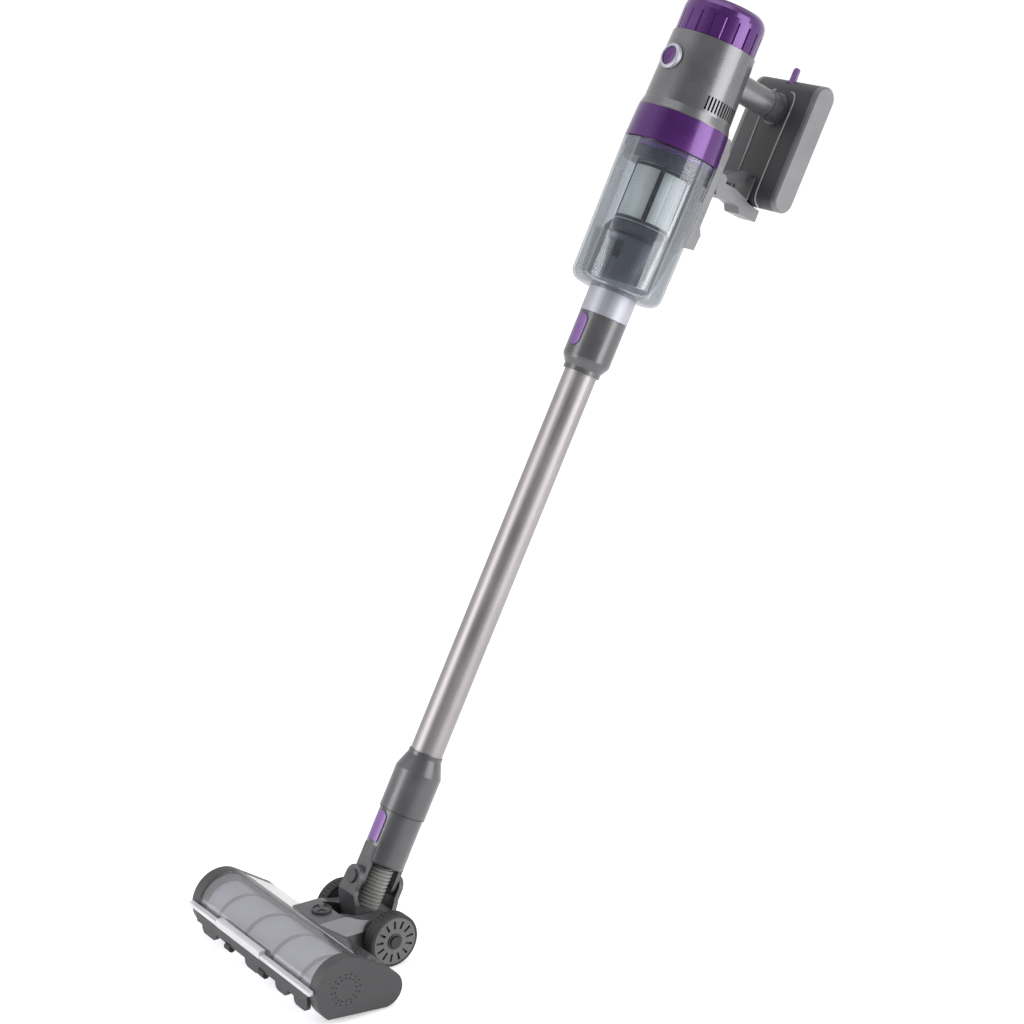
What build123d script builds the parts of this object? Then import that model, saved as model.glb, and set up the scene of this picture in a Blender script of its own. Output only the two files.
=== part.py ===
from build123d import *
from math import asin, atan2, cos, hypot, radians, sin
import os

os.makedirs("parts", exist_ok=True)

# Millimetres. Row frame: X to the machine's right, -Y towards the brush, +Z up, floor at Z = 0.
# Stick frame: x as the row, y towards the user (back), z along the stick from the neck upwards.
LEAN_DEG = 26.5
STICK_Y = 45.0
STICK_Z = 60.0

FIT = 0.3             # gap between curved faces of parts that move apart
SEAM = 0.15           # gap between parts of one body
RUNNING = 0.05        # radial clearance of a shaft in its bore

# hand unit, along the stick
RING_S0, RING_S1 = 836.0, 870.8
HOUSING_S1 = 955.4
HOUSING_R_LOW, HOUSING_R_TOP = 47.6, 45.8
CAP_S0, CAP_S1 = 956.0, 997.0
CAP_R = 44.2
VENT_COUNT = 13
VENT_FIRST_DEG, VENT_STEP_DEG = 69.0, 5.2
BUTTON_S = 924.0
UPPER_ARM_S = 931.0
TRIGGER_B, TRIGGER_S, TRIGGER_PIN_R = 70.5, 836.6, 1.5
PACK_B0, PACK_B1 = 113.8, 141.3
PACK_S0, PACK_S1 = 826.0, 968.0
PACK_HALF_WIDTH = 51.0

# dust bin
BIN_S0, BIN_S1 = 677.5, 834.6
BIN_R_LOW, BIN_R_TOP = 49.6, 51.4
BIN_WALL = 2.4
DUCT_R = 25.0
FLAP_B, FLAP_S, FLAP_PIN_R = 18.0, 689.0, 1.2
MESH_R = 28.0
COLLAR_R = 25.9

# tube and neck
TUBE_R, TUBE_BORE_R = 17.5, 16.3
CONNECTOR_R = 25.6
SOCKET_R = 25.2
SPIGOT_R = 20.2
SEAM_S = 92.4
NECK_R = 24.0
ROLL_S = 14.0
EAR_B0, EAR_B1 = 24.4, 30.0
YOKE_HALF = 16.5
PIVOT_B, PIVOT_S = 10.253, -29.527
HOSE_S0 = -15.4

# floor head, row frame
HEAD_HALF = 126.0
CAP_INNER_X = 112.3
PLATE_X = 109.5
CHAMBER_Y, CHAMBER_Z = -62.0, 32.5
COVER_R, COVER_WALL = 34.0, 2.0
FRONT_Y, FRONT_Z = -62.5, 35.0
REAR_Y, REAR_Z, REAR_R = -15.5, 21.5, 20.0
ROLL_Y, ROLL_Z = -62.0, 31.0
CORE_R, PLUSH_R = 24.0, 28.4
BAND_PITCH, BAND_PHASE_DEG = 55.0, 60.5
ROLL_HALF = 105.0
PITCH_Y, PITCH_Z = 41.0, 29.0
WHEEL_R, WHEEL_X0, WHEEL_X1 = 28.9, 40.5, 56.0
HUB_R = 25.8
AXLE_R = 4.0
ROLLER_XS = (-45.9, 23.7)
DIAL_Y, DIAL_R = -13.2, 10.6
STRIP_Y0, STRIP_Y1, PAD_R = -98.6, -94.0, 6.5
MOTOR_Y, MOTOR_Z = -13.0, 21.0
ROLL_PULLEY_R, MOTOR_PULLEY_R = 12.0, 6.0
BELT_X0, BELT_X1 = 115.0, 120.0


def on_stick(shape):
    return Pos(0, STICK_Y, STICK_Z) * Rot(-LEAN_DEG, 0, 0) * shape


def save(name, shape, stick=False):
    solids = shape if isinstance(shape, list) else [shape]
    if stick:
        solids = [on_stick(solid) for solid in solids]
    whole = Compound(children=solids) if len(solids) > 1 else solids[0]
    export_step(whole, os.path.join("parts", name + ".step"))


def turned(points):
    outline = Polyline(*[(r, 0, s) for r, s in points], close=True)
    return revolve(make_face(outline), Axis.Z)


def side_prism(points, x0, x1):
    outline = Polyline(*[(x0, y, z) for y, z in points], close=True)
    return extrude(make_face(outline), amount=x1 - x0, dir=(1, 0, 0))


def block(x0, x1, y0, y1, z0, z1):
    return Pos((x0 + x1) / 2, (y0 + y1) / 2, (z0 + z1) / 2) * Box(x1 - x0, y1 - y0, z1 - z0)


def post(r, z0, z1, x=0.0, y=0.0):
    return Pos(x, y, (z0 + z1) / 2) * Cylinder(r, z1 - z0)


def rod_x(y, z, r, x0, x1):
    return Pos((x0 + x1) / 2, y, z) * Rot(0, 90, 0) * Cylinder(r, x1 - x0)


def rod_y(x, z, r, y0, y1):
    return Pos(x, (y0 + y1) / 2, z) * Rot(90, 0, 0) * Cylinder(r, y1 - y0)


def both_sides(shape):
    return shape + mirror(shape, Plane.YZ)


def around_z(shape, count, first=0.0):
    return [Rot(0, 0, first + 360 * i / count) * shape for i in range(count)]


def two_circle_hull(a, ra, b, rb, x0, x1):
    """Prism along X over the hull of two circles, a in front of b."""
    (ay, az), (by, bz) = a, b
    along = atan2(bz - az, by - ay)
    spread = asin((ra - rb) / hypot(by - ay, bz - az))
    up = along + radians(90) - spread
    down = along - radians(90) + spread
    points = [
        (ay + ra * cos(up), az + ra * sin(up)),
        (by + rb * cos(up), bz + rb * sin(up)),
        (by + rb * cos(down), bz + rb * sin(down)),
        (ay + ra * cos(down), az + ra * sin(down)),
    ]
    return side_prism(points, x0, x1) + rod_x(ay, az, ra, x0, x1) + rod_x(by, bz, rb, x0, x1)


def coil(radius, wire, height, turns):
    path = Helix(pitch=height / turns, height=height, radius=radius)
    start = Plane(origin=path @ 0, z_dir=path % 0)
    return sweep(start * Circle(wire), path, is_frenet=True)


# hand unit ---------------------------------------------------------------------------------

def motor_housing():
    wall = turned([(30, 871), (50, 871), (50, 872), (HOUSING_R_LOW, 881), (HOUSING_R_TOP, 953),
                   (HOUSING_R_TOP, HOUSING_S1), (42.8, HOUSING_S1), (42.8, 876), (30, 876)])
    shelf = turned([(26.2, 901), (43.6, 901), (43.6, 904), (26.2, 904)])
    for hole in around_z(post(5, 900, 905, 34.4), 8, 22.5):
        shelf -= hole
    wall += shelf
    slot = block(-1.1, 1.1, -52, -40, 884, 899)
    for i in range(VENT_COUNT):
        angle = VENT_FIRST_DEG + VENT_STEP_DEG * i
        wall -= Rot(0, 0, angle) * slot
        wall -= Rot(0, 0, -angle) * slot
    return wall - rod_y(0, BUTTON_S, 11, -52, -38)


def motor():
    body = turned([(0, 893), (26, 893), (26, 926), (22, 930), (9, 930), (9, 934), (0, 934)])
    shaft = post(2, 878, 893.5)
    return body + shaft


def impeller():
    disc = turned([(2 + RUNNING, 878.5), (6, 878.5), (6, 889), (8, 889.6), (34, 889.6), (34, 891.2),
                   (2 + RUNNING, 891.2)])
    blade = Pos(20, 0, 885.8) * Rot(0, 0, 24) * Box(25, 1.2, 7.8)
    for item in around_z(blade, 9):
        disc += item
    return disc - post(2 + RUNNING, 870, 892)


def control_board():
    board = block(-15, 15, -34, -32.4, 905, 945)
    board += block(-6, 0, -35.8, -34, 908, 914)
    board += block(3, 9, -35.2, -34, 930, 937)
    return board


def power_button():
    face = turned([(0, 0), (9.9, 0), (9.9, 10.6), (8.6, 11), (0, 9.4)])
    return Pos(0, -39, BUTTON_S) * Rot(90, 0, 0) * face


def button_bezel():
    ring = turned([(10.3, 0), (13.5, 0), (13.5, 9.6), (12.2, 10.6), (10.3, 10.6)])
    placed = Pos(0, -40.6, BUTTON_S) * Rot(90, 0, 0) * ring
    return placed - post(HOUSING_R_LOW, 880, 960)


def button_spring():
    return Pos(0, -34.6, BUTTON_S) * Rot(90, 0, 0) * coil(5, 0.3, 2.4, 2)


def collar_ring():
    return turned([(46.6, RING_S0), (51.5, RING_S0), (50.2, RING_S1), (46.6, RING_S1)])


def filter_seat():
    return turned([(24.2, 834), (24.2, 816), (46, 816), (46, 870.6), (43.5, 870.6), (43.5, 838), (30, 834)])


def mesh_filter():
    return turned([(26.8, 752.2), (MESH_R, 752.2), (MESH_R, 815.9), (26.8, 815.9)])


def filter_skirt():
    return turned([(0, 738.5), (36, 738.5), (36, 741), (30, 750), (28.2, 752), (0, 752)])


def pre_filter():
    return turned([(16, 752.2), (23.8, 752.2), (23.8, 833), (16, 833)])


def rear_spine():
    outline = [(51.9, 752), (66, 756), (66, 862), (60, 876), (51, 876), (51, 871.4), (51.9, 868)]
    rail = side_prism(outline, -12, 12)
    rail -= post(51.8, 700, 872)
    rail -= post(50.3, 871.4, 880)
    catch = block(-8.3, 8.3, 60, 70, 752, 785.3)
    return rail - catch


def release_slider():
    outline = [(60.3, 753.2), (73, 755), (74.4, 772), (70, 779), (60.3, 779)]
    return side_prism(outline, -8, 8)


def upper_arm():
    oval = Pos(0, 0, UPPER_ARM_S) * Rot(-90, 0, 0) * extrude(Ellipse(14, 15), amount=PACK_B0 - 0.3)
    flare = Pos(0, 96, UPPER_ARM_S) * Rot(-90, 0, 0) * extrude(Ellipse(14.6, 16), amount=17.5)
    collar = Pos(0, 110.5, UPPER_ARM_S) * Rot(-90, 0, 0) * extrude(Ellipse(16.4, 18), amount=3)
    return oval + flare + collar - post(HOUSING_R_LOW + SEAM, 800, 1000)


def lower_arm():
    outline = [(66.2, 824), (69, 818), (79, 816.5), (95, 819), (105, 817.5), (109.5, 811), (135, 811.5),
               (134.6, 824), (121, 825.5), (113.2, 826.5), (113.2, 853), (110.8, 853), (110.8, 829),
               (92, 833), (66.2, 833)]
    arm = side_prism(outline, -12, 12)
    arm -= block(-4, 4, 84, 95, 826, 836)
    cheek = side_prism([(66.2, 831), (76, 831), (76, 838), (71, 841), (66.2, 841)], 8.4, 12)
    pin = rod_x(TRIGGER_B, TRIGGER_S, TRIGGER_PIN_R, -9, 9)
    return arm + both_sides(cheek) + pin


def trigger():
    outline = [(67, 834.2), (67, 837.5), (96, 855), (109, 856), (109, 853.5), (94, 838)]
    lever = side_prism(outline, -8, 8) + block(-3, 3, 86, 92, 828.6, 841)
    return lever - rod_x(TRIGGER_B, TRIGGER_S, TRIGGER_PIN_R + RUNNING, -9, 9)


def housing_screws():
    screw = rod_y(0, 0, 3.2, 66.1, 68.3) - block(-2.2, 2.2, 67.4, 69, -0.5, 0.5)
    return [Pos(0, 0, s) * screw for s in (792, 806, 852)]


# filter end --------------------------------------------------------------------------------

def filter_cap():
    outer = turned([(0, CAP_S1), (0, 991), (42, 991), (42, CAP_S0), (CAP_R, CAP_S0), (CAP_R, 984),
                    (43.4, 989), (41, 993.5), (37, CAP_S1)])
    notch = Pos(CAP_R + 0.9, 0, 968) * Rot(0, 0, 24) * Box(3.4, 2.2, 23)
    for item in around_z(notch, 20):
        outer -= item
    return outer


def exhaust_filter():
    ring = turned([(28, 957), (40, 957), (40, 990.8), (28, 990.8)])
    for item in around_z(block(37, 41, -0.9, 0.9, 959, 988), 36):
        ring -= item
    return ring


# battery pack --------------------------------------------------------------------------------

def pack_profile(grow, x0, x1):
    half = (PACK_B1 - PACK_B0) / 2
    middle = PACK_B0 + half
    low, high = PACK_S0 + half, PACK_S1 - half
    outline = [(PACK_B0 - grow, low), (PACK_B0 - grow, high), (PACK_B1 + grow, high), (PACK_B1 + grow, low)]
    body = side_prism(outline, x0, x1)
    body += rod_x(middle, low, half + grow, x0, x1)
    return body + rod_x(middle, high, half + grow, x0, x1)


def pack_shell():
    body = pack_profile(0, -44, 44) - pack_profile(-2.4, -42, 42)
    return body - block(-5, 5, 116, 123, 958, 972)


def pack_panels():
    panel = pack_profile(0, 44.1, PACK_HALF_WIDTH)
    rim = panel.faces().sort_by(Axis.X)[-1].edges()
    return both_sides(chamfer(rim, 2.0))


def cells():
    cell = post(9, 0, 63)
    places = [(x, s) for x in (-30, -10, 10, 30) for s in (833.4, 897.4)]
    return [Pos(x, (PACK_B0 + PACK_B1) / 2, s) * cell for x, s in places]


def pack_tab():
    stem = block(-4, 4, 118, 121, 962.6, 977)
    return stem + rod_y(0, 977, 4, 118, 121)


# dust bin --------------------------------------------------------------------------------------

def dust_bin():
    outer = turned([(0, BIN_S0), (BIN_R_LOW, BIN_S0), (BIN_R_TOP, BIN_S1), (0, BIN_S1)])
    inner = turned([(0, BIN_S0 + BIN_WALL), (BIN_R_LOW - BIN_WALL, BIN_S0 + BIN_WALL),
                    (BIN_R_TOP - BIN_WALL, BIN_S1 + 1), (0, BIN_S1 + 1)])
    outer = fillet(outer.edges().filter_by(GeomType.CIRCLE).sort_by(Axis.Z)[0], 12)
    inner = fillet(inner.edges().filter_by(GeomType.CIRCLE).sort_by(Axis.Z)[0], 9.6)
    return outer - inner - post(DUCT_R + SEAM, 670, 690)


def inlet_duct():
    duct = turned([(16, 681), (DUCT_R - 2.5, 679), (DUCT_R - 2.5, 677.6), (DUCT_R, 677.6), (DUCT_R, 736),
                   (DUCT_R - 2.5, 736), (DUCT_R - 2.5, 685), (16, 685)])
    port = block(-12, 12, -30, -15, 712, 731)
    ear = block(6, 9, 16, 20.3, 684.8, 692)
    pin = rod_x(FLAP_B, FLAP_S, FLAP_PIN_R, -6, 6)
    return duct - port + both_sides(ear) + pin


def inlet_flap():
    disc = post(17.5, 685.4, 687) - block(-20, 20, 13, 20, 684, 690)
    hinge = block(-5.4, 5.4, 12, 18, 685.4, 687) + rod_x(FLAP_B, FLAP_S, 2.4, -5.4, 5.4)
    return disc + hinge - rod_x(FLAP_B, FLAP_S, FLAP_PIN_R + RUNNING, -20, 20)


def inlet_collar():
    return turned([(17.5, 606), (SPIGOT_R, 606), (SPIGOT_R, 650.6), (COLLAR_R, 650.6), (COLLAR_R, 677.4),
                   (17.5, 677.4)])


# tube ------------------------------------------------------------------------------------------

def button_outline(half, s0, s1, round_low):
    shape = block(-half, half, -40, -10, s0 + (half if round_low else 0), s1 - half)
    shape += rod_y(0, s1 - half, half, -40, -10)
    if round_low:
        shape += rod_y(0, s0 + half, half, -40, -10)
    return shape


def curved_key(half, s0, s1, inner_r, outer_r, round_low):
    shell = turned([(inner_r, s0 - 5), (outer_r, s0 - 5), (outer_r, s1 + 5), (inner_r, s1 + 5)])
    return shell & button_outline(half, s0, s1, round_low)


def aluminium_tube():
    return turned([(TUBE_BORE_R, 140.2), (TUBE_R, 140.2), (TUBE_R, 602), (TUBE_BORE_R, 602)])


def upper_connector():
    body = turned([(TUBE_R + SEAM, 588), (20, 588), (20, 593), (24.5, 600), (CONNECTOR_R, 603),
                   (CONNECTOR_R, 650.3), (SPIGOT_R + FIT, 650.3), (SPIGOT_R + FIT, 604), (16.5, 604),
                   (16.5, 602.2), (TUBE_R + SEAM, 602.2)])
    return body - button_outline(7.6, 611.6, 647.4, True)


def tube_button():
    return curved_key(7.2, 612, 647, 22.4, 26.6, True)


def lower_socket():
    return turned([(21.3, SEAM_S + 0.2), (SOCKET_R, SEAM_S + 0.2), (SOCKET_R, 138), (18.8, 155),
                   (18.8, 159.5), (TUBE_R + SEAM, 159.5), (TUBE_R + SEAM, 140), (16.5, 140), (16.5, 137),
                   (21.3, 136)])


# neck and joint ----------------------------------------------------------------------------------

def neck():
    body = turned([(21, 36), (22.6, 35), (NECK_R, 37), (NECK_R, SEAM_S), (21, SEAM_S), (21, 134),
                   (18.5, 134), (18.5, 60), (21, 56)])
    lug = block(-9.5, 9.5, 18.8, 23.6, ROLL_S, 52) + rod_y(0, ROLL_S, 9.5, 18.8, 23.6)
    lug -= rod_y(0, ROLL_S, AXLE_R + RUNNING, 10, 40)
    body = body + lug + mirror(lug, Plane.XZ)
    return body - (button_outline(8, 55.6, 89.4, False) - post(19.6, 40, 100))


def neck_button():
    return curved_key(7.6, 56, 89, 21.6, 25.1, False)


def yoke():
    lower = [(-EAR_B1, 2), (-EAR_B1, -3), (-9, -37), (24, -36), (EAR_B1, -12), (EAR_B1, 2), (EAR_B0, 2),
             (EAR_B0, -8), (18, -13), (-17, -13), (-EAR_B0, -4), (-EAR_B0, 2)]
    body = side_prism(lower, -YOKE_HALF, YOKE_HALF)
    waist = Polyline((-YOKE_HALF, -50, -40), (-YOKE_HALF, -50, -12), (-13, -50, 6), (13, -50, 6),
                     (YOKE_HALF, -50, -12), (YOKE_HALF, -50, -40), close=True)
    body = body & extrude(make_face(waist), amount=100, dir=(0, 1, 0))
    for b0, b1 in ((EAR_B0, EAR_B1), (-EAR_B1, -EAR_B0)):
        body += block(-12.8, 12.8, b0, b1, 0, ROLL_S) + rod_y(0, ROLL_S, 12.8, b0, b1)
        body -= rod_y(0, ROLL_S, AXLE_R, b0 - 1, b1 + 1)
    body += rod_x(PIVOT_B, PIVOT_S, 13, -YOKE_HALF, YOKE_HALF)
    body -= post(15.4, HOSE_S0 - SEAM, 0)
    return body - rod_x(PIVOT_B, PIVOT_S, AXLE_R + RUNNING, -20, 20)


def roll_pins():
    pin = rod_y(0, ROLL_S, AXLE_R, 18.6, 31) + rod_y(0, ROLL_S, 7.5, 30.1, 32.4)
    return [pin, mirror(pin, Plane.XZ)]


def flex_hose():
    outer = []
    for i in range(12):
        s = HOSE_S0 + 4 * i
        outer += [(15.1, s), (15.1, s + 2), (13.4, s + 2.6), (13.4, s + 3.6)]
    top = outer[-1][1]
    return turned([(12, HOSE_S0)] + outer + [(12, top)])


# floor head --------------------------------------------------------------------------------------

def head_hull(grow, x0, x1):
    body = two_circle_hull((FRONT_Y, FRONT_Z), COVER_R + grow, (REAR_Y, REAR_Z), REAR_R + grow, x0, x1)
    sole = [(-130, 12), (-84, 7.6), (-15.8, 1.7), (30, -3), (30, -30), (-130, -30)]
    return body - side_prism(sole, x0 - 1, x1 + 1)


def chamber(radius, x0, x1):
    return rod_x(CHAMBER_Y, CHAMBER_Z, radius, x0, x1)


def head_base():
    body = head_hull(-2.2, -112, 112) + (head_hull(0, -112, 112) & block(-113, 113, -60, 30, -5, 29.9))
    body -= chamber(30.6, -PLATE_X, PLATE_X)
    body -= block(-PLATE_X, PLATE_X, -110, -62, -10, 34)
    body -= block(-PLATE_X, PLATE_X, -110, -40, 34, 80)
    body -= block(-PLATE_X, PLATE_X, -47, -26, -10, 16)
    body -= rod_x(MOTOR_Y, MOTOR_Z, 12.2, -113, -40)
    body -= rod_x(ROLL_Y, ROLL_Z, 6, -113, 113)
    return body + sole_scallops()


def sole_scallops():
    strip = block(-112, 112, STRIP_Y0, STRIP_Y1, 22, 36)
    for middle, half in ((-86, 15), (3, 14), (62, 12), (99, 13)):
        strip += block(middle - half + PAD_R, middle + half - PAD_R, STRIP_Y0, STRIP_Y1, 14, 23)
        for x in (middle - half + PAD_R, middle + half - PAD_R):
            strip += rod_y(x, 14 + PAD_R, PAD_R, STRIP_Y0, STRIP_Y1)
    for x in ROLLER_XS:
        strip -= block(x - 6, x + 6, -102, -90, 5, 24)
    return strip


def front_rollers():
    return [rod_x(-96.5, 18.6, 4.2, x - 5, x + 5) + rod_x(-96.5, 18.6, 1.4, x - 5.9, x + 5.9) for x in ROLLER_XS]


def brush_cover():
    shell = chamber_shell(COVER_R, COVER_R - COVER_WALL)
    keep = block(-112, 112, -110, -44.4, 44, 80) + block(-112, 112, -110, -80, 36, 60)
    return shell & keep


def chamber_shell(outer, inner):
    return rod_x(FRONT_Y, FRONT_Z, outer, -112, 112) - rod_x(FRONT_Y, FRONT_Z, inner, -113, 113)


def rear_cover():
    skin = head_hull(0, -112, 112) - head_hull(-2.1, -113, 113)
    return skin & block(-113, 113, -44.2, 30, 30, 80)


def front_lip():
    lip = block(-122, 122, -102.6, -97.2, 37.4, 41.6)
    raised = block(-62, 26, -103.2, -95.6, 37.4, 45.4)
    return lip + raised - rod_x(FRONT_Y, FRONT_Z, COVER_R + SEAM, -130, 130)


def end_cap():
    cap = head_hull(0, CAP_INNER_X, HEAD_HALF) - head_hull(-2.2, CAP_INNER_X - 1, HEAD_HALF - 3)
    for item in range(16):
        angle = radians(360 / 16 * item)
        for radius in (12.5, 16.5):
            y = ROLL_Y + radius * cos(angle)
            z = ROLL_Z + 4 + radius * sin(angle)
            cap -= rod_x(y, z, 0.8, HEAD_HALF - 1.2, HEAD_HALF + 1)
    return cap


def head_rear():
    outline = [(-36, 6), (-36, 60), (-33, 56.4), (-1.2, 56.4), (5, 54.6), (11, 52), (17, 49.8), (24, 48.4),
               (32, 47.9), (41, 48), (46, 17), (26, 12), (6, 4)]
    body = side_prism(outline, -38, 38)
    shoulders = Polyline((-38, -70, 0), (-38, -70, 40), (-26, -70, 57), (26, -70, 57), (38, -70, 40),
                         (38, -70, 0), close=True)
    body = body & extrude(make_face(shoulders), amount=140, dir=(0, 1, 0))
    barrel = rod_x(PITCH_Y, PITCH_Z, 19, -39.6, 39.6)
    body += fillet(barrel.edges().filter_by(GeomType.CIRCLE), 2.5)
    body += block(-16, 16, -5, 9, 0, 7)
    body -= head_hull(0.2, -60, 60)
    gap = [(-2.5, 80), (-2.5, 54.5), (17, 21), (25, 5), (80, -2), (80, 80)]
    body -= side_prism(gap, -YOKE_HALF - 0.9, YOKE_HALF + 0.9)
    body -= rod_x(PITCH_Y, PITCH_Z, AXLE_R, -50, 50)
    return body - post(4.2, 48, 60, 0, DIAL_Y)


def dial():
    knob = turned([(0, 56.7), (DIAL_R, 56.7), (DIAL_R, 58.6), (DIAL_R - 0.8, 59.2), (0, 59.2)])
    sector = [(0, 1.6, 58)]
    for step in range(7):
        angle = radians(48 + 14 * step)
        sector.append((9.2 * cos(angle), 9.2 * sin(angle), 58))
    pocket = extrude(make_face(Polyline(*sector, close=True)), amount=2, dir=(0, 0, 1))
    for item in around_z(pocket, 3):
        knob -= item
    knob += post(4, 50, 57)
    return Pos(0, DIAL_Y, 0) * knob


def brush_core():
    core = rod_x(ROLL_Y, ROLL_Z, CORE_R, -107, 107)
    return core + rod_x(ROLL_Y, ROLL_Z, 3, -121.5, 111.8)


def band_shape(wide):
    path = Helix(pitch=BAND_PITCH, height=2 * ROLL_HALF, radius=(CORE_R + PLUSH_R) / 2 + 0.2, lefthand=True)
    start = Plane(origin=path @ 0, z_dir=path % 0, x_dir=(1, 0, 0))
    section = Rectangle(PLUSH_R - CORE_R + 0.4, wide)
    return sweep(start * section, path, is_frenet=True)


def laid_along_x(shape):
    return Pos(-ROLL_HALF, ROLL_Y, ROLL_Z) * Rot(0, 90, 0) * Rot(0, 0, BAND_PHASE_DEG) * shape


def brush_bands():
    ring = post(PLUSH_R + 0.8, -10, 230) - post(CORE_R + 0.1, -10, 230)
    return laid_along_x(band_shape(5.0) & ring)


def plush_sleeve():
    sleeve = post(PLUSH_R, -1.5, 211.5) - post(CORE_R + 0.1, -5, 215)
    return laid_along_x(sleeve - band_shape(5.4))


def roll_bearings():
    ring = turned([(3 + RUNNING, 0), (5.9, 0), (5.9, 2.3), (3 + RUNNING, 2.3)])
    one = Pos(109.6, ROLL_Y, ROLL_Z) * Rot(0, 90, 0) * ring
    return [one, mirror(one, Plane.YZ)]


def pulley(y, z, radius, bore, teeth):
    wheel = rod_x(y, z, radius, -BELT_X1 - 0.6, -BELT_X0 + 0.6)
    for item in range(teeth):
        angle = radians(360 / teeth * item)
        wheel -= rod_x(y + radius * cos(angle), z + radius * sin(angle), 0.6, -BELT_X1 - 1, -BELT_X0 + 1)
    return wheel - rod_x(y, z, bore, -130, -100)


def brush_motor():
    body = rod_x(MOTOR_Y, MOTOR_Z, 12, -109, -52)
    return body + rod_x(MOTOR_Y, MOTOR_Z, 1.5, -121.5, -108)


def drive_belt():
    ends = (ROLL_Y, ROLL_Z), (MOTOR_Y, MOTOR_Z)
    outer = two_circle_hull(ends[0], ROLL_PULLEY_R + 1.8, ends[1], MOTOR_PULLEY_R + 1.8, -BELT_X1, -BELT_X0)
    inner = two_circle_hull(ends[0], ROLL_PULLEY_R + FIT, ends[1], MOTOR_PULLEY_R + FIT, -130, -100)
    return outer - inner


def pitch_axle():
    axle = rod_x(PITCH_Y, PITCH_Z, AXLE_R, -58.6, 58.6)
    head = rod_x(PITCH_Y, PITCH_Z, 6, 56.3, 58.6)
    return axle + both_sides(head)


def wheel_hub():
    disc = rod_x(PITCH_Y, PITCH_Z, HUB_R, WHEEL_X0 + 1, WHEEL_X1)
    disc = chamfer(disc.edges().sort_by(Axis.X)[-1], 1.0)
    for item in range(13):
        angle = 360 / 13 * item
        slot = block(WHEEL_X1 - 3, WHEEL_X1 + 1, -1.3, 1.3, 14, 22.5)
        disc -= Pos(0, PITCH_Y, PITCH_Z) * Rot(angle, 0, 0) * slot
    return disc - rod_x(PITCH_Y, PITCH_Z, AXLE_R + RUNNING, 30, 60)


def tyre():
    ring = rod_x(PITCH_Y, PITCH_Z, WHEEL_R, WHEEL_X0, WHEEL_X1 - 0.8)
    ring = fillet(ring.edges().filter_by(GeomType.CIRCLE), 1.8)
    ring -= rod_x(PITCH_Y, PITCH_Z, HUB_R + 0.1, 30, 60)
    for item in range(40):
        groove = block(WHEEL_X0 - 1, WHEEL_X0 + 8, -0.7, 0.7, WHEEL_R - 0.9, WHEEL_R + 1)
        ring -= Pos(0, PITCH_Y, PITCH_Z) * Rot(9 * item, 0, 0) * groove
    return ring


def head_screws():
    screw = post(2.6, 0.3, 1.7) - block(-1.9, 1.9, -0.4, 0.4, 0, 0.8)
    spots = [(x, -20) for x in (-95, -45, 45, 95)]
    return [Pos(x, y, 0) * screw for x, y in spots]


STICK_PARTS = [
    motor_housing, motor, impeller, control_board, power_button, button_bezel, button_spring, collar_ring,
    filter_seat, mesh_filter, filter_skirt, pre_filter, rear_spine, release_slider, upper_arm, lower_arm,
    trigger, housing_screws, filter_cap, exhaust_filter, pack_shell, pack_panels, cells, pack_tab,
    dust_bin, inlet_duct, inlet_flap, inlet_collar, aluminium_tube, upper_connector, tube_button,
    lower_socket, neck, neck_button, yoke, roll_pins, flex_hose,
]
HEAD_PARTS = [
    head_base, front_rollers, brush_cover, rear_cover, front_lip, head_rear, dial, brush_core,
    brush_bands, plush_sleeve, roll_bearings, brush_motor, drive_belt, pitch_axle, head_screws,
]

for make in STICK_PARTS:
    save(make.__name__, make(), stick=True)
for make in HEAD_PARTS:
    save(make.__name__, make())
save("roll_pulley", pulley(ROLL_Y, ROLL_Z, ROLL_PULLEY_R, 3 + RUNNING, 24))
save("motor_pulley", pulley(MOTOR_Y, MOTOR_Z, MOTOR_PULLEY_R, 1.5 + RUNNING, 12))
save("end_cap_right", end_cap())
save("end_cap_left", mirror(end_cap(), Plane.YZ))
save("hub_right", wheel_hub())
save("hub_left", mirror(wheel_hub(), Plane.YZ))
save("tyre_right", tyre())
save("tyre_left", mirror(tyre(), Plane.YZ))
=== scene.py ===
from math import cos, pi, radians, sin

import bmesh
import bpy
from mathutils import Matrix, Vector


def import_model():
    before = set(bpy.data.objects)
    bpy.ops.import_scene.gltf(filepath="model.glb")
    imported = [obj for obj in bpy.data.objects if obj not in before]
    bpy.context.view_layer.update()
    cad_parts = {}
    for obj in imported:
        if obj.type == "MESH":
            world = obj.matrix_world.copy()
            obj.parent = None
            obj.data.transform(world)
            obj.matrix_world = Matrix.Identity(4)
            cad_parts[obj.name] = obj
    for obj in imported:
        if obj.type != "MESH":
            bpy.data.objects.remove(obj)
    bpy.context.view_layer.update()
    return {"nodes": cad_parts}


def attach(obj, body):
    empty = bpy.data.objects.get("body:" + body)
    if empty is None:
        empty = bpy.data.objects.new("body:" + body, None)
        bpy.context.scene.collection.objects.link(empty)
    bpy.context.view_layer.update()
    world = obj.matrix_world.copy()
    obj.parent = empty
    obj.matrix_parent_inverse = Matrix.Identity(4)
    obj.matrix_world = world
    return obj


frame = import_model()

MM = 0.001
LEAN = radians(26.5)  # lean of the stick from upright
STICK_FOOT = (0, 0.045, 0.060)  # where the stick axis starts, s = 0
STICK = Matrix.Translation(STICK_FOOT) @ Matrix.Rotation(-LEAN, 4, "X")

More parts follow.
